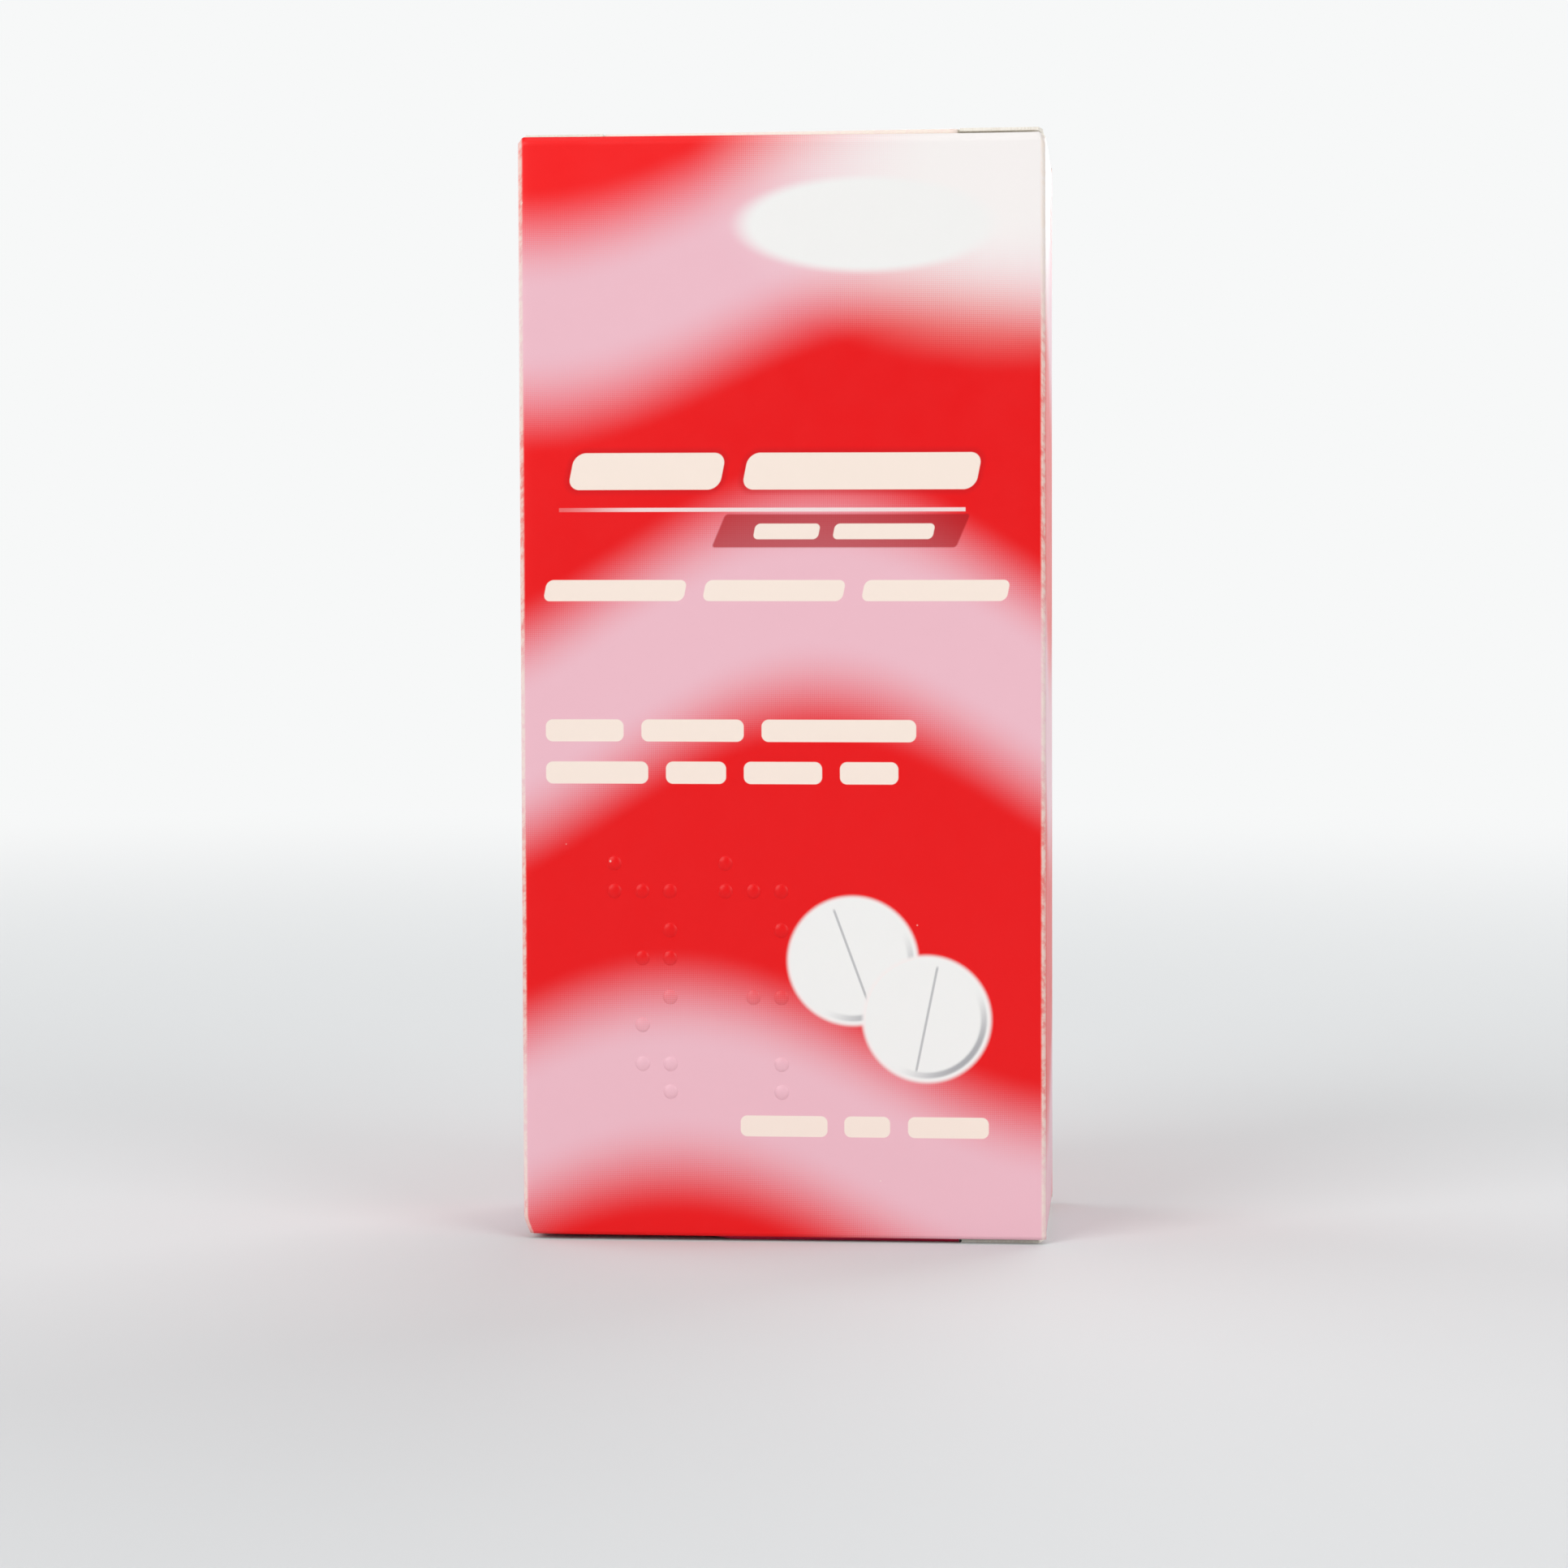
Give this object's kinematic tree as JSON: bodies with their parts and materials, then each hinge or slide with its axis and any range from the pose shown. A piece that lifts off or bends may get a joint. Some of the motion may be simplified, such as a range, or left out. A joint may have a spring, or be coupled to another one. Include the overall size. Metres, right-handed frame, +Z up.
{
  "type": "box of painkiller tablets",
  "caption": "Upright tuck-end folding carton with opening lids at both ends, holding blister strips of scored tablets and a folded leaflet.",
  "frame": {"origin": "middle of the base", "axes": "+Z up, the front panel faces -Y, +X to its right"},
  "size_m": [0.047, 0.026, 0.099],
  "materials": {
    "printed_board": "satin coated carton board, printed red and pale pink outside",
    "clear_film": "clear formed plastic film",
    "lidding_foil": "soft silver foil",
    "tablet": "pressed white powder, matt",
    "leaflet_paper": "thin uncoated paper"
  },
  "bodies": {
    "carton": {"carton_sleeve": "printed_board", "leaflet": "leaflet_paper", "blister_film_1": "clear_film", "blister_film_2": "clear_film", "blister_film_3": "clear_film", "blister_film_4": "clear_film", "blister_foil_1": "lidding_foil", "blister_foil_2": "lidding_foil", "blister_foil_3": "lidding_foil", "blister_foil_4": "lidding_foil", "tablet_1_1": "tablet", "tablet_1_2": "tablet", "tablet_1_3": "tablet", "tablet_1_4": "tablet", "tablet_1_5": "tablet", "tablet_1_6": "tablet", "tablet_1_7": "tablet", "tablet_1_8": "tablet", "tablet_2_1": "tablet", "tablet_2_2": "tablet", "tablet_2_3": "tablet", "tablet_2_4": "tablet", "tablet_2_5": "tablet", "tablet_2_6": "tablet", "tablet_2_7": "tablet", "tablet_2_8": "tablet", "tablet_3_1": "tablet", "tablet_3_2": "tablet", "tablet_3_3": "tablet", "tablet_3_4": "tablet", "tablet_3_5": "tablet", "tablet_3_6": "tablet", "tablet_3_7": "tablet", "tablet_3_8": "tablet", "tablet_4_1": "tablet", "tablet_4_2": "tablet", "tablet_4_3": "tablet", "tablet_4_4": "tablet", "tablet_4_5": "tablet", "tablet_4_6": "tablet", "tablet_4_7": "tablet", "tablet_4_8": "tablet"},
    "top_closure": {"top_lid": "printed_board"},
    "top_tuck": {"top_tuck_flap": "printed_board"},
    "bottom_closure": {"bottom_lid": "printed_board"},
    "bottom_tuck": {"bottom_tuck_flap": "printed_board"}
  },
  "joints": [
    {"name": "top_lid_hinge", "type": "hinge", "parent": "carton", "child": "top_closure", "pos_m": [0, 0.01299, 0.099], "axis": [-1, 0, 0], "range_deg": [0, 120]},
    {"name": "top_tuck_crease", "type": "hinge", "parent": "top_closure", "child": "top_tuck", "pos_m": [0, -0.01164, 0.09855], "axis": [1, 0, 0], "range_deg": [0, 36]},
    {"name": "bottom_lid_hinge", "type": "hinge", "parent": "carton", "child": "bottom_closure", "pos_m": [0, 0.01299, 0], "axis": [1, 0, 0], "range_deg": [0, 120]},
    {"name": "bottom_tuck_crease", "type": "hinge", "parent": "bottom_closure", "child": "bottom_tuck", "pos_m": [0, -0.01164, 0.00045], "axis": [-1, 0, 0], "range_deg": [0, 36]}
  ],
  "couplings": [
    {"joint": "top_tuck_crease", "follows": "top_lid_hinge", "ratio": 0.3},
    {"joint": "bottom_tuck_crease", "follows": "bottom_lid_hinge", "ratio": 0.3}
  ]
}
